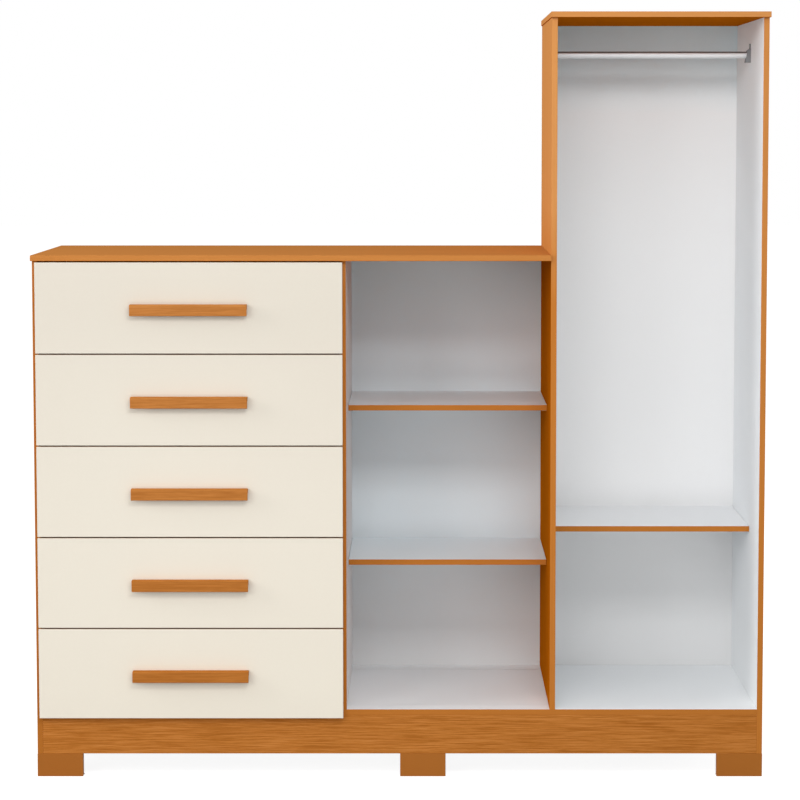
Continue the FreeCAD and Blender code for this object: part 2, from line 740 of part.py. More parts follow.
def runner_strips():
    """A strip on each wall of the drawer bay for each drawer, with its screws."""
    half_length, half_height = "runner_length / 2", "runner_height / 2"
    strip = box("runner_blank", ("0", "runner_thickness"), (f"-{half_length}", half_length),
                (f"-{half_height}", half_height))
    screws, holes = fitted_set("runner", RUNNER_SCREW, [
        (LEFT, "runner_thickness", f"{side} * runner_screw_spacing / 2", "0") for side in (-1, 1)])
    runner = cut("runner", strip, [holes])
    walls = ((0, "drawer_bay_left", "left_side_panel"), (180, "drawer_bay_right", "drawer_divider"))
    strips = []
    for level in drawer_levels():
        for degrees, x, panel in walls:
            place = (turned(degrees), x, "runner_middle", f"{level} + runner_rise")
            strips.append(copy_of(runner, *place))
            groups["small_screws"].append(copy_of(screws, *place))
            tools_of.setdefault(panel, []).append(copy_of(holes, *place))
    grouped("drawer_runners", strips)


def drawer_levels():
    """The bottom edge of each drawer front, from the top drawer down."""
    return [f"(front_bottom + {DRAWER_COUNT - number} * drawer_pitch)"
            for number in range(1, DRAWER_COUNT + 1)]


def handle_body(name, level):
    """A handle whose flange meets the drawer front and whose lip hangs down for the fingers."""
    body = doc.addObject("PartDesign::Body", name)
    profile = sketch_on(body, "YZ_Plane", f"{name}_profile")
    low, high = "-handle_height / 2", "handle_height / 2"
    outline(profile, [("-handle_depth", low), ("handle_lip - handle_depth", low),
                      ("handle_lip - handle_depth", f"{high} - handle_flange"),
                      ("0", f"{high} - handle_flange"), ("0", high), ("-handle_depth", high)])
    bar = pad(body, profile, f"{name}_bar", "handle_length", both_ways=True)
    rounded(body, bar, f"{name}_soft_edges", "handle_rounding",
            lambda edge: any(lies_at(edge, y="-handle_depth", z=end) for end in (low, high)))
    return put(body, "drawer_bay_middle", "front_face", f"{level} + front_height / 2 - handle_drop")


def drawer(name, level):
    """One drawer: front, handle, two sides, back, bottom and the fittings that hold them together."""
    floor = f"{level} + drawer_rise"
    side_depth = ("front_rear_face", "drawer_rear")
    side_height = (floor, f"{floor} + drawer_height")
    bottom_low = f"{floor} + bottom_rise"
    bottom_high = f"{bottom_low} + drawer_bottom_sheet"
    front, back, bottom = f"{name}_front", f"{name}_back", f"{name}_bottom"
    left_side, right_side, handle = f"{name}_left_side", f"{name}_right_side", f"{name}_handle"
    fittings = f"{name}_fittings"

    blanks[front] = box(f"{front}_blank", ("drawer_bay_left - front_lap", "drawer_bay_right + front_lap"),
                        ("front_face", "front_rear_face"), (level, f"{level} + front_height"))
    blanks[left_side] = box(f"{left_side}_blank", ("drawer_left", "drawer_inner_left"),
                            side_depth, side_height)
    blanks[right_side] = box(f"{right_side}_blank", ("drawer_inner_right", "drawer_right"),
                             side_depth, side_height)
    blanks[back] = box(f"{back}_blank", ("drawer_inner_left", "drawer_inner_right"),
                       ("drawer_rear - drawer_board", "drawer_rear"),
                       (bottom_high, f"{floor} + drawer_height"))
    blanks[handle] = handle_body(f"{handle}_body", level)
    reach = "groove_depth - groove_clearance"
    blanks[bottom] = box(bottom, (f"drawer_inner_left - ({reach})", f"drawer_inner_right + {reach}"),
                         (f"front_rear_face - ({reach})", "drawer_rear"), (bottom_low, bottom_high))

    groove = box(f"{name}_bottom_groove",
                 ("drawer_inner_left - groove_depth", "drawer_inner_right + groove_depth"),
                 ("front_rear_face - groove_depth", "drawer_rear + overrun"),
                 (f"{bottom_low} - groove_clearance", f"{bottom_high} + groove_clearance"))
    runner_span = ("runner_groove_front", "drawer_rear + overrun")
    runner_room = (f"{level} + runner_rise - runner_height / 2 - runner_clearance",
                   f"{level} + runner_rise + runner_height / 2 + runner_clearance")
    left_channel = box(f"{left_side}_channel",
                       ("drawer_left - overrun", "drawer_left + runner_groove_depth"),
                       runner_span, runner_room)
    right_channel = box(f"{right_side}_channel",
                        ("drawer_right - runner_groove_depth", "drawer_right + overrun"),
                        runner_span, runner_room)
    tools_of.setdefault(front, []).append(groove)
    tools_of.setdefault(left_side, []).extend([groove, left_channel])
    tools_of.setdefault(right_side, []).extend([groove, right_channel])

    for rise in ("cam_low", "cam_high"):
        drive(CAM_FITTING, fittings, [left_side, front], FORWARD,
              "drawer_left + drawer_board / 2", "front_rear_face", f"{floor} + {rise}")
        drive(CAM_FITTING, fittings, [right_side, front], FORWARD.multiply(turned(180)),
              "drawer_right - drawer_board / 2", "front_rear_face", f"{floor} + {rise}")
    for rise in ("back_screw_low", "back_screw_high"):
        drive(DRAWER_SCREW, fittings, [left_side, back], RIGHT,
              "drawer_left", "drawer_rear - drawer_board / 2", f"{floor} + {rise}")
        drive(DRAWER_SCREW, fittings, [right_side, back], LEFT,
              "drawer_right", "drawer_rear - drawer_board / 2", f"{floor} + {rise}")
    screw_height = f"{level} + (front_height + handle_height - handle_flange) / 2 - handle_drop"
    for side in (-1, 1):
        drive(HANDLE_SCREW, fittings, [front, handle], FORWARD,
              f"drawer_bay_middle + {side} * handle_screw_spacing / 2", "front_rear_face", screw_height)


carcass_panels()
shelves()
back_sheets()
nails()
panel_screws()
chest_top_fittings()
feet()
hanging_rail()
runner_strips()
for drawer_number, drawer_level in enumerate(drawer_levels(), start=1):
    drawer(f"drawer_{drawer_number}", drawer_level)

for node, blank in blanks.items():
    if node in tools_of:
        cut(node, blank, tools_of[node])
for node, fixings in groups.items():
    grouped(node, fixings)
doc.recompute()

nodes = list(blanks) + list(groups) + [
    "corner_feet", "middle_feet", "hanging_rail", "rail_brackets", "drawer_runners"]

for item in doc.Objects:
    if "Invalid" in item.State or "Error" in item.State:
        raise RuntimeError(f"{item.Name} could not be built: {item.State}")
for node in nodes:
    shape = doc.getObject(node).Shape
    if shape.isNull() or not shape.isValid() or not shape.Solids:
        raise RuntimeError(f"{node} has no sound shape")

os.makedirs("parts", exist_ok=True)
for node in nodes:
    piece = doc.getObject(node)
    piece.Label = node
    piece.Shape.exportStep(f"parts/{node}.step")
print(f"{len(nodes)} nodes, {sum(len(doc.getObject(node).Shape.Solids) for node in nodes)} solids")
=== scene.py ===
import json
import math
from collections import namedtuple

import bmesh
import bpy
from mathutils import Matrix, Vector


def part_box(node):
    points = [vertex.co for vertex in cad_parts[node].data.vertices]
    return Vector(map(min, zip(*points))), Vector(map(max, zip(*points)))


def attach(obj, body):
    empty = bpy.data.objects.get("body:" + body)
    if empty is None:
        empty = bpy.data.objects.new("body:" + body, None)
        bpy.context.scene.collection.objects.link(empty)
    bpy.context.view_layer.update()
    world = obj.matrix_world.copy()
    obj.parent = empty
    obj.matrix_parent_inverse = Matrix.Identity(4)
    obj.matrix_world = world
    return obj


# Looks of the bedroom unit: a chest of five drawers, an open niche and a taller hanging bay on one plinth.
# Metres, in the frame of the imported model: X to the right, Y away from the viewer, Z up.

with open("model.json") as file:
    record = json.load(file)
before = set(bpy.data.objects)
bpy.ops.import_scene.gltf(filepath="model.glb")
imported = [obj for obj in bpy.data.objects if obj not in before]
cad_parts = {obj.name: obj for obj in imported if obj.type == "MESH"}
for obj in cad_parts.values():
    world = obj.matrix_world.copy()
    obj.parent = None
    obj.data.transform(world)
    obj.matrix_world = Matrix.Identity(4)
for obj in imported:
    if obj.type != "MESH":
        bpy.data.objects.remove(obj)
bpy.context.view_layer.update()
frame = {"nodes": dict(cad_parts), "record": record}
NODES = frame["nodes"]
SLOT_OF = {row["node"]: row["material_slot"] for row in frame["record"]["subparts"]}
MM = 0.001


# Camera

# The photograph's verticals are parallel, so its lens looked level from high up. Here most of that is done by
# a tilt, and the rest by a shift that still leaves the other views whole.
EYE = Vector((0.0475, -5.4212, 1.3903))
TILT = math.radians(4.426)
LENS = 110.781
SHIFT = (-0.0273, -0.1)
CAMERA_REACH = 120


def show(thing):
    """Puts a new object into the scene."""
    bpy.context.scene.collection.objects.link(thing)


def make_camera():
    """The photograph's viewing angle."""
    data = bpy.data.cameras.new("camera")
    data.lens = LENS
    data.shift_x, data.shift_y = SHIFT
    data.clip_end = CAMERA_REACH
    camera = bpy.data.objects.new("camera", data)
    camera.location = EYE
    camera.rotation_euler = (math.pi / 2 - TILT, 0, 0)
    show(camera)
    bpy.context.scene.camera = camera


# Light and floor

# A lamp's place, its aim, its width and height, and its power in watts. The rear lamp lights the right side
# and the back alone.
Lamp = namedtuple("Lamp", "place aim size power falloff", defaults=("Quadratic",))
LAMPS = {
    "key": Lamp((0.2, -2.16, 2.155), (0, -0.2, 0.2), (1.4, 0.5), 20),
    "high": Lamp((0.05, -1.9, 2.7), (0, -0.1, 0.9), (1.4, 1.2), 1.2, "Linear"),
    "low_fill": Lamp((0.1, -2.6, 0.25), (0, 0, 0.3), (2.4, 0.4), 9.2),
    "left_fill": Lamp((-2.2, -3.2, 1.8), (0, 0, 0.9), (1.5, 1.2), 30),
    "side_fill": Lamp((-3.2, -0.6, 2.0), (0.2, 0, 1.2), (1.6, 1.6), 53),
    "rear_fill": Lamp((3.0, 2.6, 0.6), (0.2, 0.1, 0.6), (1.6, 1.0), 90),
}
WHITE = (1, 1, 1, 1)
WORLD_LIGHT = 0.47
WORLD_SEEN = 1.0
FLOOR_HALF = 30
FLOOR_GREY = (0.36, 0.36, 0.36, 1)
FLOOR_ROUGHNESS = 0.9
FLOOR_GLOW = 0.9


def make_lamp(name, lamp):
    """A soft rectangular lamp that points at its aim."""
    place = Vector(lamp.place)
    data = bpy.data.lights.new(name, "AREA")
    data.shape = "RECTANGLE"
    data.size, data.size_y = lamp.size
    data.energy = lamp.power
    data.use_nodes = True
    tree = data.node_tree
    fade = tree.nodes.new("ShaderNodeLightFalloff")
    fade.inputs["Strength"].default_value = 1.0
    tree.links.new(fade.outputs[lamp.falloff], tree.nodes["Emission"].inputs["Strength"])
    light = bpy.data.objects.new(name, data)
    light.location = place
    light.rotation_euler = (Vector(lamp.aim) - place).to_track_quat("-Z", "Y").to_euler()
    show(light)


def seen_directly(tree):
    """1 for rays from the camera, from a mirror or through glass, and 0 for rays that only carry light."""
    rays = tree.nodes.new("ShaderNodeLightPath")
    total = rays.outputs["Is Camera Ray"]
    for output in ("Is Glossy Ray", "Is Transmission Ray"):
        larger = tree.nodes.new("ShaderNodeMath")
        larger.operation = "MAXIMUM"
        tree.links.new(total, larger.inputs[0])
        tree.links.new(rays.outputs[output], larger.inputs[1])
        total = larger.outputs[0]
    return total


def make_world():
    """A white background, and a weaker even light on the object."""
    world = bpy.data.worlds.new("studio")
    bpy.context.scene.world = world
    world.use_nodes = True
    tree = world.node_tree
    strength = tree.nodes.new("ShaderNodeMapRange")
    strength.inputs["To Min"].default_value = WORLD_LIGHT
    strength.inputs["To Max"].default_value = WORLD_SEEN
    tree.links.new(seen_directly(tree), strength.inputs["Value"])
    tree.links.new(strength.outputs[0], tree.nodes["Background"].inputs["Strength"])
    tree.nodes["Background"].inputs["Color"].default_value = WHITE


def make_floor():
    """A pale floor that looks white and keeps the object's shadow."""
    mesh = bpy.data.meshes.new("floor")
    corners = [(x * FLOOR_HALF, y * FLOOR_HALF, 0) for x, y in ((-1, -1), (1, -1), (1, 1), (-1, 1))]
    mesh.from_pydata(corners, [], [(0, 1, 2, 3)])
    floor = bpy.data.objects.new("floor", mesh)
    show(floor)
    material = bpy.data.materials.new("floor")
    material.use_nodes = True
    tree = material.node_tree
    shader = tree.nodes["Principled BSDF"]
    shader.inputs["Base Color"].default_value = FLOOR_GREY
    shader.inputs["Roughness"].default_value = FLOOR_ROUGHNESS
    shader.inputs["Specular IOR Level"].default_value = 0.0
    shader.inputs["Emission Color"].default_value = WHITE
    glow = tree.nodes.new("ShaderNodeMath")
    glow.operation = "MULTIPLY"
    glow.inputs[1].default_value = FLOOR_GLOW
    tree.links.new(seen_directly(tree), glow.inputs[0])
    tree.links.new(glow.outputs[0], shader.inputs["Emission Strength"])
    mesh.materials.append(material)


# Tones

SCREEN_WHITE = 255
CURVE_START = 0.04045
CURVE_SLOPE = 12.92
CURVE_OFFSET = 0.055
CURVE_POWER = 2.4


def tone(red, green, blue):
    """A colour written as it shows on a screen, 0 to 255, as the linear colour that a shader takes."""
    def linear(value):
        share = value / SCREEN_WHITE
        if share <= CURVE_START:
            return share / CURVE_SLOPE
        return ((share + CURVE_OFFSET) / (1 + CURVE_OFFSET)) ** CURVE_POWER
    return (linear(red), linear(green), linear(blue), 1)


# Wood foil near the top of the unit, and the foil near its foot, darkened by painted shade for the light that
# falls off towards the floor
FOIL_LIGHT = tone(222, 155, 91)
FOIL_DARK = tone(205, 137, 75)
FOIL_LIGHT_SHADED_FOOT = tone(205, 131, 59)
FOIL_DARK_SHADED_FOOT = tone(188, 114, 46)
# Dark grain streak, also mixed in as painted shade on tops, shelf edges and some panel edges
FOIL_STREAK_AND_PAINTED_SHADE = tone(138, 74, 18)
FOIL_LIGHT_STREAK = tone(218, 148, 84)
# Painted shade: the deeper, redder foil for faces turned away from the light
PAINTED_SHADE_FOIL = tone(188, 101, 10)
PAINTED_SHADE_FOIL_DARK = tone(176, 91, 6)
RAW_FIBRE = tone(160, 118, 76)
RAW_FIBRE_DARK = tone(128, 90, 54)
# Painted light: a cool tint near the top of the back sheets, cancelling the warm light that bounces off the
# wood tops
PAINTED_COOL_TINT_WHITE = tone(224, 247, 255)
# Painted shade: the back sheets darken towards their foot
SHEET_FOOT_PAINTED_SHADE = tone(222, 222, 222)
# Painted shade along the top of the rail tube, under the dark underside of the tall top
TUBE_TOP_PAINTED_SHADE = tone(98, 99, 101)

# A plain finish: its two tones, the swings of its texture to the metre, its least and greatest roughness, and
# the depth of its texture
Plain = namedtuple("Plain", "light dark swings roughness depth")
WHITE_FOIL = Plain(tone(246, 248, 249), tone(242, 244, 246), 900, (0.42, 0.52), 0.02 * MM)
SHEET_WHITE = WHITE_FOIL._replace(light=tone(244, 244, 244), dark=tone(241, 241, 241))
# Painted shade and a painted cool tint: the niche's back sheet is darker and cooler than the other sheets
NICHE_SHEET_PAINTED_SHADE_WHITE = WHITE_FOIL._replace(light=tone(228, 236, 240), dark=tone(225, 233, 237))
# Painted light: a cool tint on the niche shelves, cancelling the warm bounce light there
NICHE_SHELF_PAINTED_COOL_WHITE = WHITE_FOIL._replace(light=tone(241, 249, 253), dark=tone(238, 246, 250))
CREAM = Plain(tone(221, 214, 200), tone(219, 211, 197), 160, (0.34, 0.42), 0.03 * MM)
# Painted light: the cream on the lower fronts is lighter, for the light that falls off towards the floor
CREAM_PAINTED_LIGHT_LOW = CREAM._replace(light=tone(239, 232, 216), dark=tone(237, 229, 213))
FRONT_EDGE = Plain(tone(206, 160, 112), tone(190, 145, 98), 500, (0.6, 0.7), 0.05 * MM)
FOOT_BROWN = Plain(tone(171, 103, 34), tone(165, 97, 30), 1300, (0.5, 0.6), 0.05 * MM)
RUNNER_WHITE = Plain(tone(226, 226, 220), tone(214, 214, 208), 700, (0.35, 0.45), 0.02 * MM)
JOINER_GREY = Plain(tone(60, 60, 62), tone(48, 48, 50), 700, (0.45, 0.55), 0.02 * MM)
SATIN_TUBE = Plain(tone(226, 227, 229), tone(219, 220, 222), 500, (0.34, 0.4), 0.01 * MM)
CAST_ZINC = Plain(tone(124, 125, 127), tone(104, 105, 108), 800, (0.42, 0.55), 0.04 * MM)
PLATED_STEEL = Plain(tone(198, 197, 190), tone(166, 165, 158), 900, (0.3, 0.45), 0.02 * MM)


# Noises

# A noise's swings to the metre across and along the grain, then its detail, roughness and distortion
Noise = namedtuple("Noise", "across along detail roughness distortion", defaults=(2.0, 0.5, 0.0))
GRAIN_WAVES = Noise(14, 3, detail=1)
GRAIN_STREAKS = Noise(260, 5, detail=4, roughness=0.62, distortion=0.25)
GRAIN_BANDS = Noise(46, 1.1, detail=3, distortion=0.3)
GRAIN_DRIFT = Noise(0.9, 0.9, detail=1)
GRAIN_PORES = Noise(950, 34)
STREAK_WAVES = Noise(30, 6, detail=1)
PLINTH_STREAKS = Noise(500, 9, detail=4, roughness=0.75)
HANDLE_STREAKS = Noise(300, 12, detail=4, roughness=0.7)
# The slow clouds in the painted shade of faces turned away from the light
PAINTED_SHADE_CLOUDS = Noise(6, 6, detail=3)
RAW_FIBRES = Noise(420, 420, detail=5, roughness=0.7)
RAW_CLOUDS = Noise(9, 9, detail=3)
PLAIN_DRIFT = Noise(1.7, 1.7)
PLAIN_TEXTURE = Noise(1, 1, detail=3, roughness=0.55)

# The middle of a noise, and the spans of its values that are used
NOISE_MIDDLE = 0.5
NOISE_SPAN = (0.3, 0.7)
PLAIN_SPAN = (0.35, 0.65)
FIBRE_SPAN = (0.36, 0.62)
PORE_SPAN = (0.60, 0.70)
PLINTH_DARK_SPAN = (0.46, 0.62)
PLINTH_LIGHT_SPAN = (0.52, 0.36)
HANDLE_DARK_SPAN = (0.4, 0.6)
GRAIN_HALF_SPAN = 0.17

# How far the waves move the grain, and how much each noise counts
GRAIN_WAVE = 14 * MM
STREAK_WAVE = GRAIN_WAVE / 3
STREAK_WEIGHT, BAND_WEIGHT, GRAIN_DRIFT_WEIGHT = 0.56, 0.3, 0.14
PORE_SHADE = 0.22
STREAK_DEPTH = 0.05 * MM
PORE_DEPTH = 0.03 * MM
PLAIN_DRIFT_WEIGHT, PLAIN_TEXTURE_WEIGHT = 0.65, 0.35
FIBRE_WEIGHT, CLOUD_WEIGHT = 0.7, 0.3
FIBRE_DEPTH = 0.12 * MM


# Shares and levels

# How strongly the grain stands out
PANEL_CONTRAST = 0.5
TOP_CONTRAST = 0.5
PLINTH_CONTRAST = 0.7
SHELF_EDGE_CONTRAST = 0.3
HANDLE_CONTRAST = 1.2

# The heights between which a tone passes from the low one to the high one: painted shade on the foil, the
# handles and the foot of the back sheets, and painted light on the cream
FOIL_PAINTED_SHADE_LEVELS = (1.02, 1.22)
RIGHT_PANEL_PAINTED_SHADE_LEVELS = (0.5, 2.1)
HANDLE_PAINTED_SHADE_LEVELS = (0.0, 1.5)
CREAM_PAINTED_LIGHT_LEVELS = (0.2, 1.0)
SHEET_FOOT_PAINTED_SHADE_LEVELS = (0.1, 0.5)
# How far down from a back sheet's top its painted cool tint reaches
PAINTED_COOL_TINT_DEPTH = 0.2

# The share of the streak's tone: grain streaks on the plinths and handles, and painted shade on the tops, the
# shelf edges and some panel edges
PLINTH_DARK_SHARES = (0.07, 0.56)
PLINTH_LIGHT_SHARES = (0.0, 0.4)
HANDLE_DARK_SHARES = (0.2, 0.48)
# Painted shade on the tops' upper faces and on their edges
TOP_FACE_PAINTED_SHADE = 0.06
TOP_EDGE_PAINTED_SHADE = {"chest_top": 0.15, "tall_top": 0.02}
SHELF_EDGE_PAINTED_SHADE = 0.1
# Painted shade on the front edges of these panels
PANEL_EDGE_PAINTED_SHADE = {"left_side_panel": 0.3, "drawer_divider": 0.15}

# Gloss, roughness and metal
SATIN_SHEEN = 0.5
FOIL_SHEEN = 0.0
FOOT_SHEEN = 0.2
FOIL_ROUGHNESS = (0.85, 0.72)
FIBRE_ROUGHNESS = (0.75, 0.9)
RAIL_METAL = 0.2
FIXING_METAL = 1.0

# How far an edge's own finish reaches, and where the painted shade along the top of the tube starts, as a
# share of its radius
BAND = 0.6 * MM
SHEET_SKIN = 0.5 * MM
TUBE_PAINTED_SHADE_START = 0.58

SOFT_EDGES = {
    "two_tone_board": 0.5 * MM,
    "wood_grain_board": 0.6 * MM,
    "white_shelf_board": 0.5 * MM,
    "cream_front": 1.0 * MM,
    "handle_wood": 0.5 * MM,
    "drawer_board": 0.4 * MM,
    "foot_plastic": 0.8 * MM,
    "runner_plastic": 0.5 * MM,
}


# Materials

# The places of a Mix node's sockets, several of which share one name
FIRST_VALUE, SECOND_VALUE = 2, 3
FIRST_COLOUR, SECOND_COLOUR = 6, 7
MIXED_COLOUR = 2


class Recipe:
    """One procedural material. Its nodes are added by short calls and end in a Principled shader."""

    def __init__(self, name, metallic=0.0, specular=SATIN_SHEEN):
        self.material = bpy.data.materials.new(name)
        self.material.use_nodes = True
        self.tree = self.material.node_tree
        self.shader = self.tree.nodes["Principled BSDF"]
        self.shader.inputs["Metallic"].default_value = metallic
        self.shader.inputs["Specular IOR Level"].default_value = specular
        self.place = self.add("ShaderNodeTexCoord").outputs["Object"]
        self.axes = self.add("ShaderNodeSeparateXYZ", {0: self.place}).outputs

    def add(self, kind, feeds=None, **settings):
        """A node with its settings, and each input fed by a value or by another node's output."""
        node = self.tree.nodes.new(kind)
        for name, value in settings.items():
            setattr(node, name, value)
        for key, value in (feeds or {}).items():
            if isinstance(value, bpy.types.NodeSocket):
                self.tree.links.new(value, node.inputs[key])
            else:
                node.inputs[key].default_value = value
        return node

    def math(self, operation, first, second):
        """The outcome of one operation on two values."""
        return self.add("ShaderNodeMath", {0: first, 1: second}, operation=operation).outputs[0]

    def weighted(self, *pairs):
        """The sum of the values, each times its weight."""
        total = None
        for value, weight in pairs:
            part = self.math("MULTIPLY", value, weight)
            total = part if total is None else self.math("ADD", total, part)
        return total

    def noise(self, noise, axis="X", place=None):
        """A noise from 0 to 1 whose grain runs along the axis."""
        swings = tuple(noise.along if letter == axis else noise.across for letter in "XYZ")
        vector = self.add("ShaderNodeMapping", {"Vector": place or self.place, "Scale": swings}).outputs[0]
        return self.add("ShaderNodeTexNoise", {
            "Vector": vector, "Scale": 1.0, "Detail": noise.detail, "Roughness": noise.roughness,
            "Distortion": noise.distortion}).outputs[0]

    def waved(self, noise, axis, depth):
        """The place, moved to and fro along every axis alike by slow noise."""
        wave = self.math("MULTIPLY", self.math("SUBTRACT", self.noise(noise, axis), NOISE_MIDDLE), depth)
        shift = self.add("ShaderNodeCombineXYZ", {0: wave, 1: wave, 2: wave}).outputs[0]
        return self.add("ShaderNodeVectorMath", {0: self.place, 1: shift}, operation="ADD").outputs[0]

    def spread(self, value, span, onto=(0.0, 1.0)):
        """The value's span taken onto another span, and held there beyond it."""
        return self.add("ShaderNodeMapRange", {
            "Value": value, "From Min": span[0], "From Max": span[1],
            "To Min": onto[0], "To Max": onto[1]}).outputs[0]

    def mix(self, share, first, second):
        """The first colour at 0 and the second at 1."""
        return self.add("ShaderNodeMix", {0: share, FIRST_COLOUR: first, SECOND_COLOUR: second},
                        data_type="RGBA").outputs[MIXED_COLOUR]

    def mix_values(self, share, first, second):
        """The first value at 0 and the second at 1."""
        return self.add("ShaderNodeMix", {0: share, FIRST_VALUE: first, SECOND_VALUE: second}).outputs[0]

    def choose(self, share, first, second):
        """One of two surfaces, each a colour, a roughness and a height in metres."""
        return (self.mix(share, first[0], second[0]), self.mix_values(share, first[1], second[1]),
                self.mix_values(share, first[2], second[2]))

    def beyond(self, axis, plane):
        """1 where the place lies past the plane along the axis, else 0."""
        return self.math("GREATER_THAN", self.axes[axis], plane)

    def short_of(self, axis, plane):
        """1 where the place lies before the plane along the axis, else 0."""
        return self.math("LESS_THAN", self.axes[axis], plane)

    def finish(self, surface):
        """Feeds the shader from a surface's colour, roughness and height."""
        colour, roughness, height = surface
        self.tree.links.new(colour, self.shader.inputs["Base Color"])
        self.tree.links.new(roughness, self.shader.inputs["Roughness"])
        bump = self.add("ShaderNodeBump", {"Height": height, "Strength": 1.0, "Distance": 1.0})
        self.tree.links.new(bump.outputs[0], self.shader.inputs["Normal"])
        return self.material


def wood_foil(recipe, axis, contrast, painted_shade_levels=FOIL_PAINTED_SHADE_LEVELS):
    """Printed wood-grain foil: long fine streaks, wider bands and short pores along one axis.

    Painted shade deepens the tone slowly from the top of the unit to its foot.
    """
    place = recipe.waved(GRAIN_WAVES, axis, GRAIN_WAVE)
    streaks = recipe.noise(GRAIN_STREAKS, axis, place)
    bands = recipe.noise(GRAIN_BANDS, axis, place)
    drift = recipe.noise(GRAIN_DRIFT)
    pores = recipe.spread(recipe.noise(GRAIN_PORES, axis, place), PORE_SPAN)
    pattern = recipe.weighted((streaks, STREAK_WEIGHT), (bands, BAND_WEIGHT), (drift, GRAIN_DRIFT_WEIGHT))
    half = GRAIN_HALF_SPAN / contrast
    pattern = recipe.spread(pattern, (NOISE_MIDDLE - half, NOISE_MIDDLE + half))
    shade = recipe.math("SUBTRACT", pattern, recipe.math("MULTIPLY", pores, PORE_SHADE * contrast))
    # Painted shade: the foil darkens from the top of the unit towards its foot
    painted_shading_level = recipe.spread(recipe.axes["Z"], painted_shade_levels)
    dark = recipe.mix(painted_shading_level, FOIL_DARK_SHADED_FOOT, FOIL_DARK)
    light = recipe.mix(painted_shading_level, FOIL_LIGHT_SHADED_FOOT, FOIL_LIGHT)
    return (recipe.mix(shade, dark, light), recipe.spread(streaks, NOISE_SPAN, FOIL_ROUGHNESS),
            recipe.weighted((streaks, STREAK_DEPTH), (pores, -PORE_DEPTH)))


def strong_streaks(recipe, noise):
    """The noise of the streaks that stand out on the plinths and handles."""
    return recipe.noise(noise, "X", recipe.waved(STREAK_WAVES, "X", STREAK_WAVE))


def painted_shade_foil(recipe):
    """Painted shade: a deeper, redder tone of foil for faces turned away from the light."""
    return recipe.mix(recipe.noise(PAINTED_SHADE_CLOUDS), PAINTED_SHADE_FOIL_DARK, PAINTED_SHADE_FOIL)


def plain_finish(recipe, plain):
    """A plain surface with a slow drift of tone and a fine texture of its own."""
    drift = recipe.noise(PLAIN_DRIFT)
    texture = recipe.noise(PLAIN_TEXTURE._replace(across=plain.swings, along=plain.swings))
    both = recipe.weighted((drift, PLAIN_DRIFT_WEIGHT), (texture, PLAIN_TEXTURE_WEIGHT))
    return (recipe.mix(recipe.spread(both, PLAIN_SPAN), plain.dark, plain.light),
            recipe.spread(texture, NOISE_SPAN, plain.roughness),
            recipe.math("MULTIPLY", texture, plain.depth))


def raw_fibre(recipe):
    """The bare brown face of pressed fibreboard, speckled with fibres."""
    fibres = recipe.noise(RAW_FIBRES)
    both = recipe.weighted((fibres, FIBRE_WEIGHT), (recipe.noise(RAW_CLOUDS), CLOUD_WEIGHT))
    return (recipe.mix(recipe.spread(both, FIBRE_SPAN), RAW_FIBRE_DARK, RAW_FIBRE),
            recipe.spread(fibres, NOISE_SPAN, FIBRE_ROUGHNESS),
            recipe.math("MULTIPLY", fibres, FIBRE_DEPTH))


def two_tone_board(node):
    """An upright panel: wood foil outside and on its edges, white foil towards the bays that it closes."""
    recipe = Recipe(node, specular=FOIL_SHEEN)
    low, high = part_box(node)
    # The heights of the foil's painted shade, spread over more of the tall right panel
    painted_shade_levels = RIGHT_PANEL_PAINTED_SHADE_LEVELS if node == "tall_right_panel" else FOIL_PAINTED_SHADE_LEVELS
    wood = surface = wood_foil(recipe, "Z", PANEL_CONTRAST, painted_shade_levels)
    white = plain_finish(recipe, WHITE_FOIL)
    # Painted shade on the tall left panel's face inside the niche, below the chest top
    if node == "tall_left_panel":
        colour, roughness, height = wood
        niche_painted_shade = recipe.math("MULTIPLY", recipe.short_of("X", low.x + BAND),
                               recipe.short_of("Z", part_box("chest_top")[0].z))
        surface = recipe.mix(niche_painted_shade, colour, painted_shade_foil(recipe)), roughness, height
    if node in ("left_side_panel", "tall_left_panel", "drawer_divider"):
        surface = recipe.choose(recipe.beyond("X", high.x - BAND), surface, white)
    if node in ("tall_right_panel", "drawer_divider"):
        surface = recipe.choose(recipe.beyond("X", low.x + BAND), white, surface)
    # Painted shade on the front edges of the left side panel and the divider
    if node in PANEL_EDGE_PAINTED_SHADE:
        colour, roughness, height = wood
        wood = recipe.mix(PANEL_EDGE_PAINTED_SHADE[node], colour, FOIL_STREAK_AND_PAINTED_SHADE), roughness, height
    return recipe.finish(recipe.choose(recipe.beyond("Y", low.y + BAND), wood, surface))


def plinth_board(node):
    """A plinth, in wood foil whose dark and light streaks stand out more than elsewhere."""
    recipe = Recipe(node, specular=FOIL_SHEEN)
    colour, roughness, height = wood_foil(recipe, "X", PLINTH_CONTRAST)
    streaks = strong_streaks(recipe, PLINTH_STREAKS)
    dark = recipe.spread(streaks, PLINTH_DARK_SPAN, PLINTH_DARK_SHARES)
    light = recipe.spread(streaks, PLINTH_LIGHT_SPAN, PLINTH_LIGHT_SHARES)
    streaked = recipe.mix(light, recipe.mix(dark, colour, FOIL_STREAK_AND_PAINTED_SHADE), FOIL_LIGHT_STREAK)
    return recipe.finish((streaked, roughness, height))


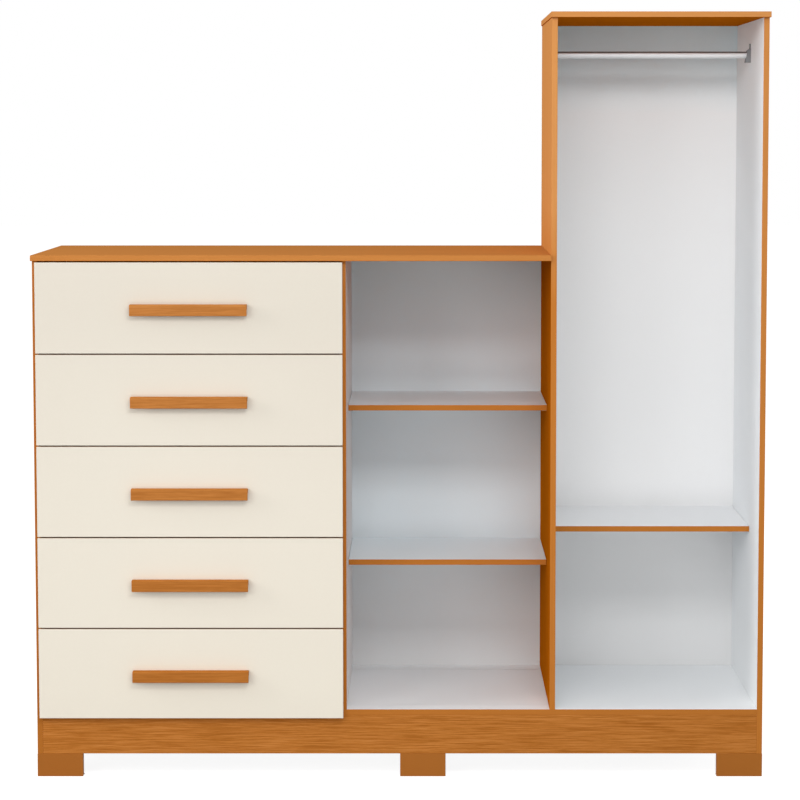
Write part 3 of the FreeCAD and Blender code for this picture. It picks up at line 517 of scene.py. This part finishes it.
def top_board(node):
    """A top, in wood foil all round, with painted shade on its upper face and edges, deepest on its
    underside.
    """
    recipe = Recipe(node, specular=FOIL_SHEEN)
    low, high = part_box(node)
    colour, roughness, height = wood_foil(recipe, "X", TOP_CONTRAST)
    on_face = recipe.beyond("Z", high.z - BAND)
    # Painted shade on the upper face and the edges, strongest on the chest top's front edge
    share = recipe.mix_values(on_face, TOP_EDGE_PAINTED_SHADE[node], TOP_FACE_PAINTED_SHADE)
    above = recipe.mix(share, colour, FOIL_STREAK_AND_PAINTED_SHADE)
    # Painted shade on the underside
    colour = recipe.mix(recipe.beyond("Z", low.z + BAND), painted_shade_foil(recipe), above)
    return recipe.finish((colour, roughness, height))


def wood_grain_board(node):
    """A top or a plinth."""
    return plinth_board(node) if "plinth" in node else top_board(node)


def white_shelf_board(node):
    """A white board whose front edge has a plain band in the colour of the wood foil, darkened a little by
    painted shade.
    """
    recipe = Recipe(node, specular=FOIL_SHEEN)
    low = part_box(node)[0]
    colour, roughness, height = wood_foil(recipe, "X", SHELF_EDGE_CONTRAST)
    # Painted shade: the front edge darkened towards the streak's tone
    edge = recipe.mix(SHELF_EDGE_PAINTED_SHADE, colour, FOIL_STREAK_AND_PAINTED_SHADE), roughness, height
    # The niche shelves' white carries a painted cool tint
    white = plain_finish(recipe, NICHE_SHELF_PAINTED_COOL_WHITE if "niche" in node else WHITE_FOIL)
    return recipe.finish(recipe.choose(recipe.beyond("Y", low.y + BAND), edge, white))


def back_sheet(node):
    """Thin fibreboard, white on the side of the bay or the drawer's inside and bare elsewhere."""
    recipe = Recipe(node)
    low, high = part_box(node)
    if node.endswith("_bottom"):
        on_top = recipe.beyond("Z", high.z - SHEET_SKIN)
        return recipe.finish(recipe.choose(on_top, raw_fibre(recipe), plain_finish(recipe, WHITE_FOIL)))
    # The niche's sheet carries painted shade and a painted cool tint
    white = NICHE_SHEET_PAINTED_SHADE_WHITE if "niche" in node else SHEET_WHITE
    colour, roughness, height = plain_finish(recipe, white)
    # Painted light: a cool tint near the sheet's top
    near_top = recipe.spread(recipe.axes["Z"], (high.z - PAINTED_COOL_TINT_DEPTH, high.z))
    # Painted shade: the sheet darkens towards its foot
    off_foot = recipe.spread(recipe.axes["Z"], SHEET_FOOT_PAINTED_SHADE_LEVELS)
    colour = recipe.mix(off_foot, SHEET_FOOT_PAINTED_SHADE, recipe.mix(near_top, colour, PAINTED_COOL_TINT_WHITE))
    behind = recipe.beyond("Y", low.y + SHEET_SKIN)
    return recipe.finish(recipe.choose(behind, (colour, roughness, height), raw_fibre(recipe)))


def cream_front(node):
    """Smooth cream lacquer over brown fibreboard that shows at the edges.

    Painted light makes the cream a little lighter on the lower fronts.
    """
    recipe = Recipe(node)
    low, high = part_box(node)
    painted_shading_level = recipe.spread(recipe.axes["Z"], CREAM_PAINTED_LIGHT_LEVELS)
    lacquer = plain_finish(recipe, CREAM._replace(light=recipe.mix(painted_shading_level, CREAM_PAINTED_LIGHT_LOW.light, CREAM.light),
                                                  dark=recipe.mix(painted_shading_level, CREAM_PAINTED_LIGHT_LOW.dark, CREAM.dark)))
    edge = plain_finish(recipe, FRONT_EDGE)
    on_edge = recipe.math("MULTIPLY", recipe.beyond("Y", low.y + SOFT_EDGES["cream_front"]),
                          recipe.short_of("Y", high.y - BAND))
    return recipe.finish(recipe.choose(on_edge, lacquer, edge))


def handle_wood(node):
    """Wood foil along the handle, a little deeper than on the boards, with dark streaks and painted shade
    that deepens towards the floor.
    """
    recipe = Recipe(node, specular=FOIL_SHEEN)
    colour, roughness, height = wood_foil(recipe, "X", HANDLE_CONTRAST, HANDLE_PAINTED_SHADE_LEVELS)
    dark = recipe.spread(strong_streaks(recipe, HANDLE_STREAKS), HANDLE_DARK_SPAN, HANDLE_DARK_SHARES)
    return recipe.finish((recipe.mix(dark, colour, FOIL_STREAK_AND_PAINTED_SHADE), roughness, height))


def plain_material(name, plain, **gloss):
    """A material of one plain finish."""
    recipe = Recipe(name, **gloss)
    return recipe.finish(plain_finish(recipe, plain))


def drawer_board(node):
    """White foil on the drawer's own boards."""
    return plain_material(node, WHITE_FOIL)


def foot_plastic(node):
    """Moulded plastic with a fine matt texture."""
    return plain_material(node, FOOT_BROWN, specular=FOOT_SHEEN)


def runner_plastic(node):
    """White plastic strip."""
    return plain_material(node, RUNNER_WHITE)


def rail_steel(node):
    """Satin tube with painted shade along its top, and duller cast zinc for the brackets that carry it."""
    if node == "rail_brackets":
        return plain_material(node, CAST_ZINC, metallic=RAIL_METAL)
    recipe = Recipe(node, metallic=RAIL_METAL)
    low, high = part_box(node)
    tube, roughness, height = plain_finish(recipe, SATIN_TUBE)
    radius = (high.z - low.z) / 2
    # Painted shade on the tube's upper strip
    above = recipe.beyond("Z", low.z + radius + TUBE_PAINTED_SHADE_START * radius)
    return recipe.finish((recipe.mix(above, tube, TUBE_TOP_PAINTED_SHADE), roughness, height))


def fixing_steel(node):
    """Zinc-plated steel."""
    return plain_material(node, PLATED_STEEL, metallic=FIXING_METAL)


FINISHES = {
    "two_tone_board": two_tone_board,
    "wood_grain_board": wood_grain_board,
    "white_shelf_board": white_shelf_board,
    "back_sheet": back_sheet,
    "cream_front": cream_front,
    "handle_wood": handle_wood,
    "drawer_board": drawer_board,
    "foot_plastic": foot_plastic,
    "runner_plastic": runner_plastic,
    "rail_steel": rail_steel,
    "fixing_steel": fixing_steel,
}


# Soft edges

FLAT_FACED = ("two_tone_board", "drawer_board", "foot_plastic")
WELD_REACH = 0.01 * MM
FLAT_ANGLE = math.radians(0.5)
SOFTENED_ANGLE = math.radians(60)
SOFT_SEGMENTS = 3
SHADING_WEIGHT = 100


def weld(piece):
    """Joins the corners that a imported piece's faces share."""
    piece.modifiers.new("weld", "WELD").merge_threshold = WELD_REACH


def flatten(piece):
    """Joins the triangles of each flat face, so that narrow ones don't spoil the soft edges."""
    flat = piece.modifiers.new("flat_faces", "DECIMATE")
    flat.decimate_type = "DISSOLVE"
    flat.angle_limit = FLAT_ANGLE


def soften(piece, width):
    """Rounds the sharp edges of a welded piece a little."""
    bevel = piece.modifiers.new("soft_edges", "BEVEL")
    bevel.width = width
    bevel.segments = SOFT_SEGMENTS
    bevel.limit_method = "ANGLE"
    bevel.angle_limit = SOFTENED_ANGLE
    bevel.use_clamp_overlap = False
    shading = piece.modifiers.new("shading", "WEIGHTED_NORMAL")
    shading.mode = "FACE_AREA"
    shading.weight = SHADING_WEIGHT
    shading.keep_sharp = False


def dress():
    """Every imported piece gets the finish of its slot."""
    for node, piece in NODES.items():
        slot = SLOT_OF[node]
        piece.data.materials.clear()
        piece.data.materials.append(FINISHES[slot](node))
        weld(piece)
        if slot in FLAT_FACED:
            flatten(piece)
        if slot in SOFT_EDGES:
            soften(piece, SOFT_EDGES[slot])


# Trim

JOINER_WIDTH = 13 * MM
JOINER_PROUD = 1.2 * MM
JOINER_LIP = 0.5 * MM


def back_joiner():
    """The strip up the middle of the drawer bay's back, where the two halves of the thin sheet meet."""
    low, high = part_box("drawer_bay_back")
    base_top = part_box("base_panel")[1].z
    middle = (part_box("left_side_panel")[1].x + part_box("drawer_divider")[0].x) / 2
    half = JOINER_WIDTH / 2
    front = low.y - JOINER_PROUD
    profile = [(-half, low.y), (-half, low.y - JOINER_LIP), (-half + JOINER_LIP, front),
               (half - JOINER_LIP, front), (half, low.y - JOINER_LIP), (half, low.y)]
    mesh = bpy.data.meshes.new("back_joiner")
    shape = bmesh.new()
    lower, upper = ([shape.verts.new((middle + x, y, z)) for x, y in profile] for z in (base_top, high.z))
    for index, corner in enumerate(lower):
        following = (index + 1) % len(profile)
        shape.faces.new((corner, lower[following], upper[following], upper[index]))
    shape.faces.new(lower[::-1])
    shape.faces.new(upper)
    bmesh.ops.recalc_face_normals(shape, faces=shape.faces)
    shape.to_mesh(mesh)
    shape.free()
    strip = bpy.data.objects.new("back_joiner", mesh)
    show(strip)
    mesh.materials.append(plain_material("back_joiner", JOINER_GREY))
    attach(strip, "carcass")


make_camera()
make_world()
make_floor()
for lamp_name, lamp_row in LAMPS.items():
    make_lamp(lamp_name, lamp_row)
dress()
back_joiner()
bpy.context.scene.view_settings.view_transform = "Standard"
